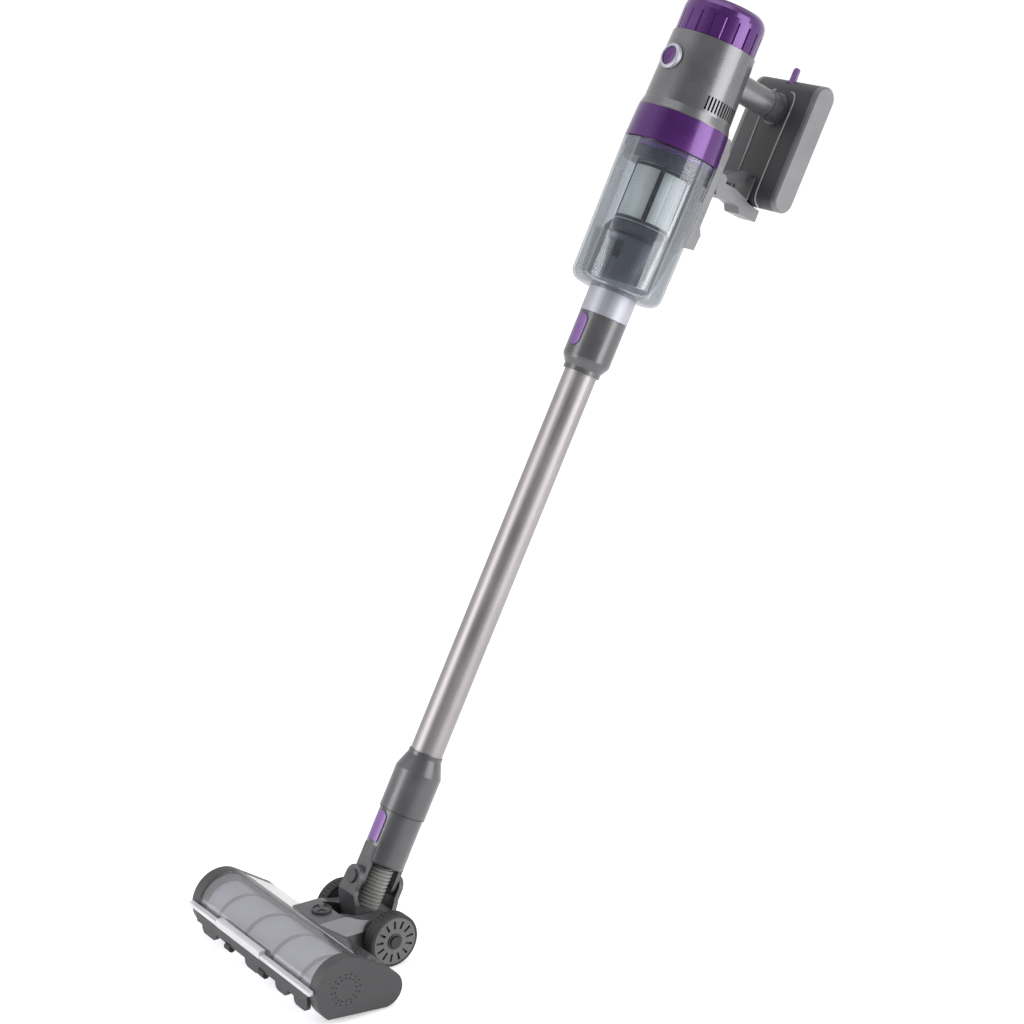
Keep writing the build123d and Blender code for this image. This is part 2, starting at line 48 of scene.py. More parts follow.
MIX_A, MIX_B, MIX_COLOUR = 6, 7, 2  # colour sockets of a mix node set to RGBA
FLAKE_SCALE = 1400.0  # metal flake in the plastic, cells per metre
FLAKE_FROM = 0.55  # only cells above this shine
FRONT_BLACK = (0.022, 0.022, 0.024)
FRONT_BLEND = 0.0005  # half width of the change to black, in metres
COAT_ROUGH = 0.06
GRAIN_HEIGHT = 0.00012
STREAK_HEIGHT = 0.0001
FIBRE_HEIGHT = 0.0006
HOLE_HEIGHT = 0.0003
EDGE_TINT = 0.62  # clear plastic seen edge on lets less through
GLAZE_IOR = 1.35
GLAZE_ROUGH = 0.08
GLAZE_GAIN = 0.5


# materials ---------------------------------------------------------------------------------

def new_material(name):
    """Empty node material with its output node."""
    mat = bpy.data.materials.new(name)
    mat.use_nodes = True
    nodes, links = mat.node_tree.nodes, mat.node_tree.links
    nodes.clear()
    out = nodes.new("ShaderNodeOutputMaterial")
    return mat, nodes, links, out


def coordinates(nodes, links, along_stick=False, scale=(1, 1, 1)):
    """Object coordinates, turned to the stick axis if asked."""
    source = nodes.new("ShaderNodeTexCoord")
    mapping = nodes.new("ShaderNodeMapping")
    mapping.vector_type = "TEXTURE" if along_stick else "POINT"
    if along_stick:
        mapping.inputs["Rotation"].default_value = (-LEAN, 0, 0)
        mapping.inputs["Scale"].default_value = tuple(1 / s for s in scale)
    else:
        mapping.inputs["Scale"].default_value = scale
    links.new(source.outputs["Object"], mapping.inputs["Vector"])
    return mapping.outputs["Vector"]


def noise(nodes, links, vector, scale, detail=3.0, rough=0.55):
    """Cloudy value from 0 to 1."""
    tex = nodes.new("ShaderNodeTexNoise")
    tex.inputs["Scale"].default_value = scale
    tex.inputs["Detail"].default_value = detail
    tex.inputs["Roughness"].default_value = rough
    links.new(vector, tex.inputs["Vector"])
    return tex.outputs["Fac"]


def remap(nodes, links, value, low, high, from_low=0.3, from_high=0.7):
    """Value stretched from one range to another."""
    node = nodes.new("ShaderNodeMapRange")
    node.inputs["From Min"].default_value = from_low
    node.inputs["From Max"].default_value = from_high
    node.inputs["To Min"].default_value = low
    node.inputs["To Max"].default_value = high
    links.new(value, node.inputs["Value"])
    return node.outputs["Result"]


def blend_colour(nodes, links, value, dark, light, from_low=0.3, from_high=0.7):
    """Colour between dark and light by a value."""
    ramp = nodes.new("ShaderNodeValToRGB")
    ramp.color_ramp.elements[0].position = from_low
    ramp.color_ramp.elements[0].color = (*dark, 1)
    ramp.color_ramp.elements[1].position = from_high
    ramp.color_ramp.elements[1].color = (*light, 1)
    links.new(value, ramp.inputs["Fac"])
    return ramp.outputs["Color"]


def colour_mix(nodes, blend="MIX"):
    """Mix node for two colours."""
    node = nodes.new("ShaderNodeMix")
    node.data_type = "RGBA"
    node.blend_type = blend
    return node


def bump(nodes, links, value, strength, distance):
    """Surface normal raised by a value."""
    node = nodes.new("ShaderNodeBump")
    node.inputs["Strength"].default_value = strength
    node.inputs["Distance"].default_value = distance
    links.new(value, node.inputs["Height"])
    return node.outputs["Normal"]


def plastic(name, dark, light, rough=0.4, metallic=0.0, coat=0.0, grain=1500.0, grain_depth=0.25,
            blotch=22.0, sparkle=0.0, spread=0.07, front_dark=None):
    """Moulded plastic: slow colour drift, fine grain bump, uneven sheen, optional metal flake.

    front_dark turns the plastic dark in front of that distance along Y, in metres.
    """
    mat, nodes, links, out = new_material(name)
    shader = nodes.new("ShaderNodeBsdfPrincipled")
    vector = coordinates(nodes, links)
    drift = noise(nodes, links, vector, blotch, 4.0)
    fine = noise(nodes, links, vector, grain, 2.0)
    colour = blend_colour(nodes, links, drift, dark, light)
    if sparkle:
        flake = nodes.new("ShaderNodeTexVoronoi")
        flake.inputs["Scale"].default_value = FLAKE_SCALE
        links.new(vector, flake.inputs["Vector"])
        mix = colour_mix(nodes, "ADD")
        share = remap(nodes, links, flake.outputs["Color"], 0.0, sparkle, FLAKE_FROM, 1.0)
        links.new(share, mix.inputs["Factor"])
        links.new(colour, mix.inputs[MIX_A])
        mix.inputs[MIX_B].default_value = (*[min(1.0, c * 1.6 + 0.05) for c in light], 1)
        colour = mix.outputs[MIX_COLOUR]
    if front_dark is not None:
        split = nodes.new("ShaderNodeSeparateXYZ")
        links.new(vector, split.inputs[0])
        zone = remap(nodes, links, split.outputs["Y"], 1.0, 0.0, front_dark - FRONT_BLEND,
                     front_dark + FRONT_BLEND)
        shade = colour_mix(nodes)
        links.new(zone, shade.inputs["Factor"])
        links.new(colour, shade.inputs[MIX_A])
        shade.inputs[MIX_B].default_value = (*FRONT_BLACK, 1)
        colour = shade.outputs[MIX_COLOUR]
    links.new(colour, shader.inputs["Base Color"])
    links.new(remap(nodes, links, drift, rough - spread, rough + spread), shader.inputs["Roughness"])
    shader.inputs["Metallic"].default_value = metallic
    shader.inputs["Coat Weight"].default_value = coat
    shader.inputs["Coat Roughness"].default_value = COAT_ROUGH
    links.new(bump(nodes, links, fine, grain_depth, GRAIN_HEIGHT), shader.inputs["Normal"])
    links.new(shader.outputs["BSDF"], out.inputs["Surface"])
    return mat


def drawn_metal(name, dark, light, rough, along=True, stretch=60.0, scale=260.0, metallic=1.0):
    """Metal with fine streaks along the stick, or across it."""
    mat, nodes, links, out = new_material(name)
    shader = nodes.new("ShaderNodeBsdfPrincipled")
    squeeze = (1, 1, 1 / stretch) if along else (1 / stretch, 1, 1)
    vector = coordinates(nodes, links, along_stick=along, scale=squeeze)
    streak = noise(nodes, links, vector, scale, 5.0, 0.7)
    slow = noise(nodes, links, coordinates(nodes, links), 14.0, 3.0)
    mix = nodes.new("ShaderNodeMath")
    mix.operation = "MULTIPLY_ADD"
    mix.inputs[1].default_value = 0.5
    links.new(streak, mix.inputs[0])
    half = nodes.new("ShaderNodeMath")
    half.operation = "MULTIPLY"
    half.inputs[1].default_value = 0.5
    links.new(slow, half.inputs[0])
    links.new(half.outputs[0], mix.inputs[2])
    links.new(blend_colour(nodes, links, mix.outputs[0], dark, light, 0.35, 0.65),
              shader.inputs["Base Color"])
    links.new(remap(nodes, links, mix.outputs[0], rough - 0.06, rough + 0.08), shader.inputs["Roughness"])
    shader.inputs["Metallic"].default_value = metallic
    links.new(bump(nodes, links, streak, 0.15, STREAK_HEIGHT), shader.inputs["Normal"])
    links.new(shader.outputs["BSDF"], out.inputs["Surface"])
    return mat


def clear_plastic(name, tint, body, cover=0.3, rough=0.05, shine=0.03):
    """Smoked clear plastic: tinted see-through mixed with a glossy skin and faint moulding marks."""
    mat, nodes, links, out = new_material(name)
    vector = coordinates(nodes, links)
    drift = noise(nodes, links, vector, 18.0, 3.0)
    fine = noise(nodes, links, vector, 600.0, 2.0)
    through = nodes.new("ShaderNodeBsdfTransparent")
    facing = nodes.new("ShaderNodeLayerWeight")
    facing.inputs["Blend"].default_value = 0.5
    edge_tint = [c * EDGE_TINT for c in tint]
    links.new(blend_colour(nodes, links, facing.outputs["Facing"], tint, edge_tint, 0.72, 1.0),
              through.inputs["Color"])
    skin = nodes.new("ShaderNodeBsdfPrincipled")
    darker = [c * 0.9 for c in body]
    paler = [min(1, c * 1.1) for c in body]
    links.new(blend_colour(nodes, links, drift, darker, paler), skin.inputs["Base Color"])
    links.new(remap(nodes, links, drift, rough, rough + 0.05), skin.inputs["Roughness"])
    skin.inputs["Coat Weight"].default_value = 1.0
    skin.inputs["Coat Roughness"].default_value = 0.02
    links.new(bump(nodes, links, fine, 0.06, STREAK_HEIGHT), skin.inputs["Normal"])
    mix = nodes.new("ShaderNodeMixShader")
    mix.inputs["Fac"].default_value = cover
    links.new(through.outputs["BSDF"], mix.inputs[1])
    links.new(skin.outputs["BSDF"], mix.inputs[2])
    mirror = nodes.new("ShaderNodeBsdfGlossy")
    mirror.inputs["Roughness"].default_value = rough + GLAZE_ROUGH
    edge = nodes.new("ShaderNodeFresnel")
    edge.inputs["IOR"].default_value = GLAZE_IOR
    share = remap(nodes, links, edge.outputs["Fac"], shine, shine + GLAZE_GAIN, 0.0, 1.0)
    glaze = nodes.new("ShaderNodeMixShader")
    links.new(share, glaze.inputs["Fac"])
    links.new(mix.outputs["Shader"], glaze.inputs[1])
    links.new(mirror.outputs["BSDF"], glaze.inputs[2])
    links.new(glaze.outputs["Shader"], out.inputs["Surface"])
    return mat


def cloth(name, dark, light, scale=900.0, depth=0.8, rough=0.95, sheen=0.5):
    """Short pile or felt: fibre bump, slow drift and sheen."""
    mat, nodes, links, out = new_material(name)
    shader = nodes.new("ShaderNodeBsdfPrincipled")
    vector = coordinates(nodes, links)
    fibre = noise(nodes, links, vector, scale, 6.0, 0.8)
    drift = noise(nodes, links, vector, 45.0, 4.0)
    total = nodes.new("ShaderNodeMath")
    total.operation = "ADD"
    links.new(fibre, total.inputs[0])
    links.new(drift, total.inputs[1])
    depth_of_pile = remap(nodes, links, total.outputs[0], 0, 1, 0.7, 1.3)
    links.new(blend_colour(nodes, links, depth_of_pile, dark, light, 0.1, 0.9), shader.inputs["Base Color"])
    shader.inputs["Roughness"].default_value = rough
    shader.inputs["Sheen Weight"].default_value = sheen
    links.new(bump(nodes, links, fibre, depth, FIBRE_HEIGHT), shader.inputs["Normal"])
    links.new(shader.outputs["BSDF"], out.inputs["Surface"])
    return mat


def mesh_metal(name, light, hole, pitch=0.0011):
    """Etched filter mesh: rows of dark holes in a pale steel sheet, set round the stick axis."""
    mat, nodes, links, out = new_material(name)
    shader = nodes.new("ShaderNodeBsdfPrincipled")
    vector = coordinates(nodes, links)
    cells = nodes.new("ShaderNodeTexVoronoi")
    cells.inputs["Scale"].default_value = 1 / pitch
    cells.inputs["Randomness"].default_value = 0.15
    links.new(vector, cells.inputs["Vector"])
    drift = noise(nodes, links, vector, 30.0, 3.0)
    spot = blend_colour(nodes, links, cells.outputs["Distance"], hole, light, 0.22, 0.42)
    tint = colour_mix(nodes, "MULTIPLY")
    tint.inputs["Factor"].default_value = 1.0
    links.new(spot, tint.inputs[MIX_A])
    links.new(blend_colour(nodes, links, drift, (0.86, 0.86, 0.84), (1, 1, 1)), tint.inputs[MIX_B])
    links.new(tint.outputs[MIX_COLOUR], shader.inputs["Base Color"])
    shader.inputs["Metallic"].default_value = 0.35
    shader.inputs["Roughness"].default_value = 0.45
    links.new(bump(nodes, links, cells.outputs["Distance"], 0.6, HOLE_HEIGHT), shader.inputs["Normal"])
    links.new(shader.outputs["BSDF"], out.inputs["Surface"])
    return mat


# plastics: name, dark colour, light colour, roughness, metallic, coat
GREY = plastic("grey_plastic", (0.132, 0.132, 0.139), (0.158, 0.158, 0.166), 0.30, 0.6, 0.3, sparkle=0.04)
GREY_MATT = plastic("grey_matt", (0.074, 0.075, 0.080), (0.094, 0.095, 0.101), 0.38, 0.4, 0.22,
                    sparkle=0.05)
HEAD_GREY = plastic("head_grey", (0.060, 0.060, 0.064), (0.076, 0.076, 0.080), 0.46, 0.15, 0.05,
                    sparkle=0.04, front_dark=-0.0925)
DARK = plastic("dark_plastic", (0.046, 0.046, 0.050), (0.060, 0.060, 0.064), 0.5, 0.1, grain=1100,
               grain_depth=0.4)
CAP_DARK = plastic("cap_plastic", (0.036, 0.036, 0.039), (0.046, 0.046, 0.049), 0.5, 0.1, grain=1100,
                   grain_depth=0.4)
BLACK = plastic("black_plastic", (0.010, 0.010, 0.011), (0.020, 0.020, 0.022), 0.5)
LIGHT = plastic("light_plastic", (0.142, 0.142, 0.149), (0.172, 0.172, 0.180), 0.42, 0.3, 0.1, sparkle=0.06)
HUB = plastic("hub_plastic", (0.095, 0.095, 0.096), (0.120, 0.120, 0.121), 0.5, 0.15, 0.05)
HOSE = plastic("hose_plastic", (0.190, 0.195, 0.185), (0.250, 0.255, 0.240), 0.5, 0.0, 0.1)
PALE = plastic("pale_plastic", (0.34, 0.34, 0.35), (0.42, 0.42, 0.43), 0.4, 0.1, 0.2)
PURPLE = plastic("purple_gloss", (0.066, 0.015, 0.118), (0.090, 0.021, 0.156), 0.26, 0.5, 0.35,
                 grain_depth=0.1, sparkle=0.10)
LILAC = plastic("purple_satin", (0.15, 0.075, 0.23), (0.19, 0.095, 0.285), 0.42, 0.35, 0.1)
SILVER = drawn_metal("silver_plate", (0.335, 0.335, 0.38), (0.43, 0.43, 0.485), 0.50, stretch=30,
                     metallic=0.6)
TUBE = drawn_metal("tube_metal", (0.27, 0.253, 0.256), (0.34, 0.320, 0.324), 0.46)
STEEL = drawn_metal("turned_steel", (0.45, 0.45, 0.46), (0.62, 0.62, 0.63), 0.28, along=False)
SMOKE = clear_plastic("clear_smoke", (0.84, 0.862, 0.885), (0.16, 0.18, 0.205), 0.09, rough=0.0,
                      shine=0.015)
LINER = clear_plastic("dark_smoke", (0.85, 0.85, 0.86), (0.17, 0.172, 0.18), 0.24, rough=0.0, shine=0.0)
DUCT = plastic("duct_plastic", (0.40, 0.36, 0.43), (0.48, 0.44, 0.52), 0.20, 0.1, 1.0, grain_depth=0.1)
COVER = clear_plastic("cover_clear", (0.93, 0.93, 0.945), (0.26, 0.26, 0.27), 0.10, rough=0.0,
                      shine=0.012)
# near-white clear plastic for the door rim: its pale colour is a painted highlight
RIM_PAINTED_HIGHLIGHT = clear_plastic("rim_painted_highlight", (0.97, 0.97, 0.98), (0.92, 0.92, 0.93), 0.72)
LIP = clear_plastic("lip_clear", (0.94, 0.94, 0.96), (0.68, 0.68, 0.70), 0.66)
SEAT = plastic("seat_plastic", (0.075, 0.066, 0.090), (0.095, 0.084, 0.112), 0.4, 0.2, 0.2)
EDGE_CLEAR = clear_plastic("edge_clear", (0.84, 0.84, 0.86), (0.34, 0.34, 0.36), 0.50)
MESH = mesh_metal("filter_mesh", (0.86, 0.87, 0.84), (0.30, 0.30, 0.30))
FOAM = cloth("filter_cloth", (0.52, 0.52, 0.50), (0.70, 0.70, 0.68), 700, 0.4)
PLUSH = cloth("roll_plush", (0.40, 0.395, 0.465), (0.53, 0.525, 0.60), 1300, 1.0)
BRISTLE = cloth("bristle_band", (0.035, 0.035, 0.045), (0.10, 0.10, 0.12), 1600, 1.0)
RUBBER = plastic("rubber_black", (0.016, 0.016, 0.017), (0.030, 0.030, 0.032), 0.7, grain=800,
                 grain_depth=0.6)
BOARD = plastic("board_green", (0.01, 0.09, 0.04), (0.02, 0.15, 0.07), 0.35, 0.0, 0.5)
WRAP = plastic("cell_wrap", (0.02, 0.10, 0.28), (0.03, 0.15, 0.40), 0.3, 0.0, 0.3)

# look of each CAD node
LOOKS = {
    "motor_housing": GREY, "motor": STEEL, "impeller": STEEL, "control_board": BOARD, "power_button": PURPLE,
    "button_bezel": SILVER, "button_spring": STEEL, "collar_ring": PURPLE, "filter_seat": SEAT,
    "mesh_filter": MESH, "filter_skirt": SEAT, "pre_filter": FOAM, "rear_spine": GREY,
    "release_slider": LIGHT, "upper_arm": GREY, "lower_arm": LIGHT, "trigger": DARK, "housing_screws": STEEL,
    "filter_cap": PURPLE, "exhaust_filter": FOAM, "pack_shell": DARK, "pack_panels": LIGHT, "cells": WRAP,
    "pack_tab": LILAC, "dust_bin": SMOKE, "inlet_duct": DUCT, "inlet_flap": RUBBER, "inlet_collar": SILVER,
    "aluminium_tube": TUBE, "upper_connector": GREY_MATT, "tube_button": LILAC, "lower_socket": GREY_MATT,
    "neck": GREY_MATT, "neck_button": LILAC, "yoke": GREY_MATT, "roll_pins": DARK, "flex_hose": HOSE,
    "head_base": HEAD_GREY, "front_rollers": RUBBER, "brush_cover": COVER, "rear_cover": EDGE_CLEAR,
    "front_lip": LIP, "head_rear": GREY_MATT, "dial": DARK, "brush_core": DARK, "brush_bands": BRISTLE,
    "plush_sleeve": PLUSH, "roll_bearings": STEEL, "brush_motor": STEEL, "drive_belt": RUBBER,
    "pitch_axle": BLACK, "head_screws": STEEL, "roll_pulley": LIGHT, "motor_pulley": LIGHT,
    "end_cap_right": CAP_DARK, "end_cap_left": CAP_DARK, "hub_right": HUB, "hub_left": HUB,
    "tyre_right": RUBBER, "tyre_left": RUBBER,
}
for node_name, look in LOOKS.items():
    holder = frame["nodes"][node_name]
    holder.data.materials.clear()
    holder.data.materials.append(look)


# mesh helpers --------------------------------------------------------------------------------

EDGE = 0.0003  # softened edge of the rings, in metres
EDGE_ANGLE = radians(30)


def add_piece(name, mesh, look, body, smooth=True):
    """Object with its look, riding on its body."""
    piece = bpy.data.objects.new(name, mesh)
    bpy.context.scene.collection.objects.link(piece)
    mesh.materials.append(look)
    if smooth:
        for face in mesh.polygons:
            face.use_smooth = True
    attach(piece, body)
    return piece


def mesh_from(name, verts, faces, where=None):
    """Mesh with faces turned outwards, moved by a matrix."""
    bm = bmesh.new()
    made = [bm.verts.new(v) for v in verts]
    for face in faces:
        bm.faces.new([made[i] for i in face])
    bmesh.ops.recalc_face_normals(bm, faces=bm.faces)
    if where is not None:
        bmesh.ops.transform(bm, matrix=where, verts=bm.verts)
    mesh = bpy.data.meshes.new(name)
    bm.to_mesh(mesh)
    bm.free()
    return mesh


def lathe(name, profile, look, body, segments=128, where=STICK):
    """Closed ring of revolution about the stick axis from an outline of (radius, s) in mm."""
    count = len(profile)
    verts = []
    for i in range(segments):
        a = 2 * pi * i / segments
        verts += [(r * cos(a) * MM, r * sin(a) * MM, s * MM) for r, s in profile]
    faces = []
    for i in range(segments):
        j = (i + 1) % segments
        for k in range(count):
            n = (k + 1) % count
            faces.append((i * count + k, j * count + k, j * count + n, i * count + n))
    piece = add_piece(name, mesh_from(name, verts, faces, where), look, body)
    soften(piece, EDGE)
    return piece


def soften(piece, width, segments=2):
    """Small bevel on sharp edges."""
    mod = piece.modifiers.new("edge", "BEVEL")
    mod.width = width
    mod.segments = segments
    mod.limit_method = "ANGLE"
    mod.angle_limit = EDGE_ANGLE
    mod.harden_normals = True


def bead(name, points, radius, look, body, where=STICK, closed=False, smooth=True):
    """A round bead along a smooth path of points in mm."""
    curve = bpy.data.curves.new(name, "CURVE")
    curve.dimensions = "3D"
    spline = curve.splines.new("NURBS" if smooth else "POLY")
    spline.points.add(len(points) - 1)
    for point, co in zip(spline.points, points):
        point.co = (*(where @ Vector([c * MM for c in co])), 1)
    spline.use_cyclic_u = closed
    if smooth:
        spline.order_u = 3
        spline.use_endpoint_u = not closed
    curve.bevel_depth = radius * MM
    curve.bevel_resolution = 4
    curve.resolution_u = 8
    curve.use_fill_caps = True
    holder = bpy.data.objects.new(name + "_path", curve)
    bpy.context.scene.collection.objects.link(holder)
    bpy.context.view_layer.update()
    mesh = bpy.data.meshes.new_from_object(holder.evaluated_get(bpy.context.evaluated_depsgraph_get()))
    mesh.name = name
    bpy.data.objects.remove(holder)
    mesh.materials.clear()
    return add_piece(name, mesh, look, body)


def slab(name, outline, x0, x1, look, body, where=STICK, edge=0.0006):
    """Prism along X over an outline of (y, z) in mm, with softened edges."""
    count = len(outline)
    verts = [(x * MM, y * MM, z * MM) for x in (x0, x1) for y, z in outline]
    faces = [tuple(range(count)), tuple(range(2 * count - 1, count - 1, -1))]
    faces += [(i, (i + 1) % count, count + (i + 1) % count, count + i) for i in range(count)]
    piece = add_piece(name, mesh_from(name, verts, faces, where), look, body)
    soften(piece, edge, 3)
    return piece


# bin inside ------------------------------------------------------------------------------------

# outlines of the inner cup as (radius, s), upright in front and sloping at the rear
CUP_FRONT = [(26.2, 680.6), (30, 680.6), (36, 682.5), (40, 687), (41.5, 694), (42, 712), (42.6, 726),
             (43, 735)]
CUP_REAR = [(26.2, 680.6), (28, 681), (31, 684), (34, 692), (37, 704), (41, 722), (45, 742), (48, 757)]
CUP_INSET = [0, 0, 0.6, 1.4, 2, 2, 2, 2]  # inner face, in half walls, from the foot to the rim
CUP_TURN = 1.4  # above 1, the slope gathers at the rear


def bin_liner(segments=128, wall=1.2):
    """Inner dust cup, one closed shell blended from the front outline to the rear one."""
    verts, count = [], len(CUP_FRONT)
    for i in range(segments):
        a = 2 * pi * i / segments
        w = (0.5 + 0.5 * sin(a)) ** CUP_TURN
        ring = [(f[0] + (r[0] - f[0]) * w, f[1] + (r[1] - f[1]) * w) for f, r in zip(CUP_FRONT, CUP_REAR)]
        inner = [(r - wall * k / 2, s + wall * (1 - k / 2)) for k, (r, s) in zip(CUP_INSET, ring)]
        verts += [(r * cos(a) * MM, r * sin(a) * MM, s * MM) for r, s in ring + inner[::-1]]
    faces = []
    for i in range(segments):
        j = (i + 1) % segments
        for k in range(2 * count):
            n = (k + 1) % (2 * count)
            faces.append((i * 2 * count + k, j * 2 * count + k, j * 2 * count + n, i * 2 * count + n))
    mesh = mesh_from("bin_liner", verts, faces, STICK)
    soften(add_piece("bin_liner", mesh, LINER, "bin"), EDGE)


bin_liner()

# clear rim of the sloping bottom door, up to the latch on both sides of the rear; its near-white colour is a
# painted highlight
RIM = [(47.0, 757), (44.9, 742), (42.2, 724), (39.8, 708), (37.4, 696), (34.4, 687.5), (30.5, 683.4)]
RIM_FROM, RIM_TO = radians(48), radians(132)
RIM_STEPS = 8
RIM_R = 1.3


def door_rim():
    """One bright bead down one side, round behind the duct and up the other side; its brightness is a
    painted highlight.
    """
    path = [(r * cos(RIM_FROM), r * sin(RIM_FROM), s) for r, s in RIM]
    low_r, low_s = RIM[-1]
    for i in range(1, RIM_STEPS):
        a = RIM_FROM + (RIM_TO - RIM_FROM) * i / RIM_STEPS
        path.append((low_r * cos(a), low_r * sin(a), low_s))
    path += [(r * cos(RIM_TO), r * sin(RIM_TO), s) for r, s in RIM[::-1]]
    bead("door_rim", path, RIM_R, RIM_PAINTED_HIGHLIGHT, "bin")


door_rim()

# purple band round the mouth of the bin
lathe("bin_top_band", [(47.9, 829), (48.6, 829), (48.8, 834.2), (46.4, 834.2), (46.4, 832)], LILAC, "bin")

# frame bars of the mesh filter, between its windows; the first bar is turned to face the camera, so its
# black is also a painted reflection, the dark stripe down the middle of the bin
MESH_S0, MESH_S1 = 753.0, 815.5
# 50.8 degrees turns the first bar to face the camera, where its black stands as a painted dark reflection
BARS, PAINTED_REFLECTION_BAR_TURN, BAR_HALF = 4, 50.8, 2.6
BAR_OUTLINE = [(-29.1, MESH_S0), (-27.4, MESH_S0), (-27.4, MESH_S1), (-29.1, MESH_S1)]
HOOP_TALL = 3.5
for number in range(BARS):
    turn = Matrix.Rotation(radians(PAINTED_REFLECTION_BAR_TURN + 360 / BARS * number), 4, "Z")
    slab("mesh_bar_%d" % number, BAR_OUTLINE, -BAR_HALF, BAR_HALF, BLACK, "hand_unit",
         where=STICK @ turn)
for number, s0 in enumerate((MESH_S0, 811.5)):
    s1 = s0 + HOOP_TALL
    lathe("mesh_hoop_%d" % number, [(28.1, s0), (29.4, s0), (29.4, s1), (28.1, s1)], DARK, "hand_unit")

# collar catch under the bin
CATCH_OUTLINE = [(26.2, 663.5), (29.2, 664.5), (29.6, 672), (27.2, 676.8), (26.2, 676.8)]
slab("collar_catch", CATCH_OUTLINE, -5, 5, BLACK, "bin")

# seam ring between the neck and the lower socket, and the gaps round the two push keys
lathe("neck_seam", [(24.1, 91.7), (25.3, 91.7), (25.3, 92.55), (24.1, 92.55)], BLACK, "tube")

GAP_R = 0.5  # radius of the dark line
GAP_STEPS = 12  # points on each round end


def key_gap(name, half, s0, s1, radius, low_round, body):
    """Dark line round a push key, laid on the round body."""
    flat = []
    for i in range(GAP_STEPS + 1):
        a = radians(180 * i / GAP_STEPS)
        flat.append((half * cos(a), s1 - half + half * sin(a)))
    if low_round:
        for i in range(GAP_STEPS + 1):
            a = radians(180 + 180 * i / GAP_STEPS)
            flat.append((half * cos(a), s0 + half + half * sin(a)))
    else:
        flat += [(-half, s0 + 10), (-half, s0 + 1.5), (-half + 1.5, s0), (0, s0)]
        flat += [(half - 1.5, s0), (half, s0 + 1.5), (half, s0 + 10)]
    path = [(x, -(radius * radius - x * x) ** 0.5, s) for x, s in flat]
    bead(name, path, GAP_R, BLACK, body, closed=True, smooth=False)


key_gap("neck_key_gap", 7.9, 55.8, 89.3, 24.0, False, "neck_body")
key_gap("tube_key_gap", 7.5, 611.7, 647.3, 25.6, True, "tube")

# rings round the wheel centres, as (radius, distance from the middle plane)
WHEEL_AXIS = (0, 0.041, 0.029)
WHEEL_RING = [(6.4, 55.4), (8.6, 55.4), (8.6, 56.7), (7.8, 57.2), (6.4, 57.2)]
for side, tag in ((1, "right"), (-1, "left")):
    where = Matrix.Translation(WHEEL_AXIS) @ Matrix.Rotation(radians(90 * side), 4, "Y")
    lathe("wheel_ring_" + tag, WHEEL_RING, BLACK, "wheel_" + tag, where=where)

# ridge lines where the front and rear covers meet
RIDGE_X = (-111, -40, 40, 111)
UPRIGHT = Matrix.Identity(4)
bead("cover_ridge", [(x, -44.3, 64.0) for x in RIDGE_X], 0.55, PALE, "floor_head",
     where=UPRIGHT, smooth=False)
bead("cover_groove", [(x, -42.2, 62.9) for x in RIDGE_X], 0.45, DARK, "floor_head",
     where=UPRIGHT, smooth=False)

# beads down the battery pack, as (x, b, s); their pale colour is a painted highlight along the raised bead
PACK_BEAD = [(12, 113.3, 952.5), (17, 113.3, 952), (21, 113.3, 946), (21.5, 113.3, 936),
             (20.5, 113.3, 900), (20, 113.3, 870), (20, 113.3, 846), (20, 113.6, 836), (20, 117, 829),
             (20, 124, 825.7)]
PACK_BEAD_R = 0.8
for side, tag in ((-1, "left"), (1, "right")):
    bead("pack_bead_painted_highlight_" + tag, [(side * x, b, s) for x, b, s in PACK_BEAD], PACK_BEAD_R, PALE,
         "battery_pack")


# stage -------------------------------------------------------------------------------------------

FLOOR_HALF = 400.0
FLOOR_Z = -0.0004  # just under the soles
FLOOR_GLOW = 0.42
FLOOR_DARK, FLOOR_LIGHT = (0.86, 0.86, 0.865), (0.90, 0.90, 0.905)


def stage_sheet():
    """Pale floor, wide enough to reach the horizon from every side."""
    mesh = bpy.data.meshes.new("floor")
    bm = bmesh.new()
    corners = [bm.verts.new((x * FLOOR_HALF, y * FLOOR_HALF, FLOOR_Z))
               for x, y in ((-1, -1), (1, -1), (1, 1), (-1, 1))]
    bm.faces.new(corners)
    bm.to_mesh(mesh)
    bm.free()
    floor = bpy.data.objects.new("floor", mesh)
    bpy.context.scene.collection.objects.link(floor)
    mat, nodes, links, out = new_material("floor_pale")
    shader = nodes.new("ShaderNodeBsdfPrincipled")
    vector = coordinates(nodes, links)
    drift = noise(nodes, links, vector, 3.0)
    links.new(blend_colour(nodes, links, drift, FLOOR_DARK, FLOOR_LIGHT), shader.inputs["Base Color"])
    shader.inputs["Roughness"].default_value = 0.9
    shader.inputs["Emission Color"].default_value = (1, 1, 1, 1)
    shader.inputs["Emission Strength"].default_value = FLOOR_GLOW
    links.new(shader.outputs["BSDF"], out.inputs["Surface"])
    mesh.materials.append(mat)


# camera angles: azimuth from the front, height angle and roll
AZIMUTH, ELEVATION, ROLL = radians(54.23), radians(17.3), radians(0.92)
EYE = (2.0439, -1.2508, 1.2335)
LENS_MM, SENSOR_MM = 89.1, 36.0
FAR = 1000
BACK = Vector((sin(AZIMUTH) * cos(ELEVATION), -cos(AZIMUTH) * cos(ELEVATION), sin(ELEVATION)))
RIGHT0 = Vector((cos(AZIMUTH), sin(AZIMUTH), 0))
UP0 = BACK.cross(RIGHT0)
RIGHT = RIGHT0 * cos(ROLL) + UP0 * sin(ROLL)
UP = UP0 * cos(ROLL) - RIGHT0 * sin(ROLL)


def camera():
    """Long lens from the right of the front, looking slightly down."""
    data = bpy.data.cameras.new("camera")
    data.lens = LENS_MM
    data.sensor_width = SENSOR_MM
    data.clip_end = FAR
    eye = bpy.data.objects.new("camera", data)
    bpy.context.scene.collection.objects.link(eye)
    turn = Matrix((RIGHT, UP, BACK)).transposed().to_4x4()
    eye.matrix_world = Matrix.Translation(EYE) @ turn
    bpy.context.scene.camera = eye


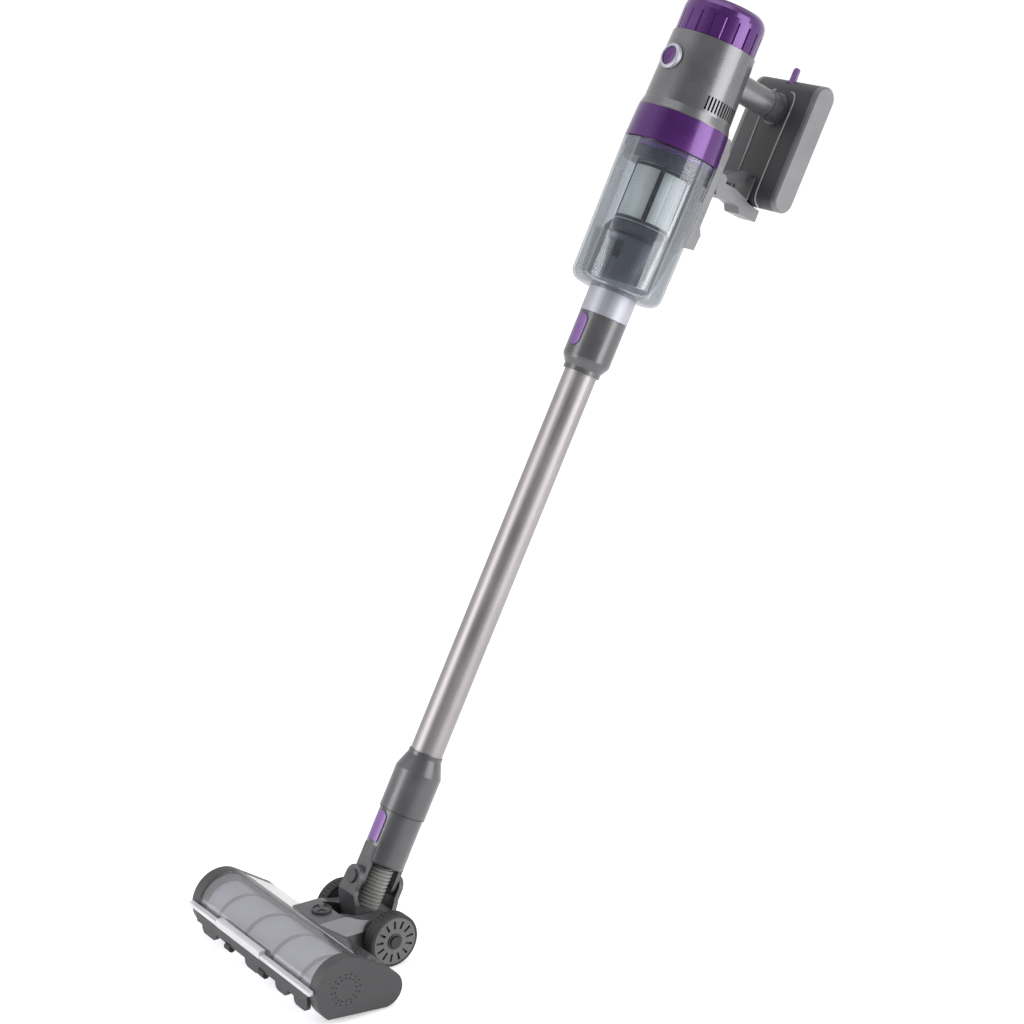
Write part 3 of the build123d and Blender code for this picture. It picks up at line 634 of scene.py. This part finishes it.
def softbox(name, place, aim, width, height, power):
    """White rectangular light turned to a point."""
    data = bpy.data.lights.new(name, "AREA")
    data.shape = "RECTANGLE"
    data.size = width
    data.size_y = height
    data.energy = power
    lamp = bpy.data.objects.new(name, data)
    bpy.context.scene.collection.objects.link(lamp)
    lamp.location = place
    lamp.rotation_euler = (Vector(aim) - Vector(place)).to_track_quat("-Z", "Y").to_euler()


SKY_WHITE, SKY_GREY = (1, 1, 1, 1), (0.16, 0.16, 0.165, 1)
SKY_FROM, SKY_TO = 0.10, 0.62  # where the white starts and ends its fall to grey
SKY_STRENGTH = 0.88


def world():
    """White all round, darker on the side that the front of the object faces."""
    sky = bpy.data.worlds.new("studio")
    bpy.context.scene.world = sky
    sky.use_nodes = True
    nodes, links = sky.node_tree.nodes, sky.node_tree.links
    nodes.clear()
    out = nodes.new("ShaderNodeOutputWorld")
    light = nodes.new("ShaderNodeBackground")
    source = nodes.new("ShaderNodeTexCoord")
    dot = nodes.new("ShaderNodeVectorMath")
    dot.operation = "DOT_PRODUCT"
    dot.inputs[1].default_value = (sin(AZIMUTH), -cos(AZIMUTH), 0.0)
    links.new(source.outputs["Generated"], dot.inputs[0])
    ramp = nodes.new("ShaderNodeValToRGB")
    ramp.color_ramp.elements[0].position = SKY_FROM
    ramp.color_ramp.elements[0].color = SKY_WHITE
    ramp.color_ramp.elements[1].position = SKY_TO
    ramp.color_ramp.elements[1].color = SKY_GREY
    links.new(dot.outputs["Value"], ramp.inputs["Fac"])
    links.new(ramp.outputs["Color"], light.inputs["Color"])
    light.inputs["Strength"].default_value = SKY_STRENGTH
    links.new(light.outputs["Background"], out.inputs["Surface"])


LOW_BIN_S = 0.715  # height on the stick that the strip light is mirrored at, in metres
STRIP_TURN = radians(28)  # how far round the bin from the side facing the camera
STRIP_FAR = 1.6


def lights():
    """Three large boxes and a low strip mirrored in the front of the bin."""
    middle = Vector((0, 0.22, 0.45))
    right = middle + RIGHT0 * 1.7 + BACK * 0.9 + Vector((0, 0, 0.3))
    left = middle - RIGHT0 * 1.9 + BACK * 0.8 + Vector((0, 0, 0.3))
    softbox("right_box", right, middle, 1.1, 1.8, 28)
    softbox("left_box", left, middle, 0.9, 1.8, 30)
    low_bin = STICK @ Vector((0, 0, LOW_BIN_S))
    stick_up = (STICK.to_3x3() @ Vector((0, 0, 1))).normalized()
    facing = (BACK - stick_up * BACK.dot(stick_up)).normalized()
    turned = facing * cos(STRIP_TURN) - facing.cross(stick_up) * sin(STRIP_TURN)
    bounce = (2 * BACK.dot(turned) * turned - BACK).normalized()
    softbox("bin_strip", low_bin + bounce * STRIP_FAR, low_bin, 0.9, 0.12, 2.5)
    softbox("top_box", middle + Vector((0, 0, 2.2)), middle, 1.6, 1.6, 12)


stage_sheet()
camera()
world()
lights()
bpy.context.scene.view_settings.view_transform = "Standard"
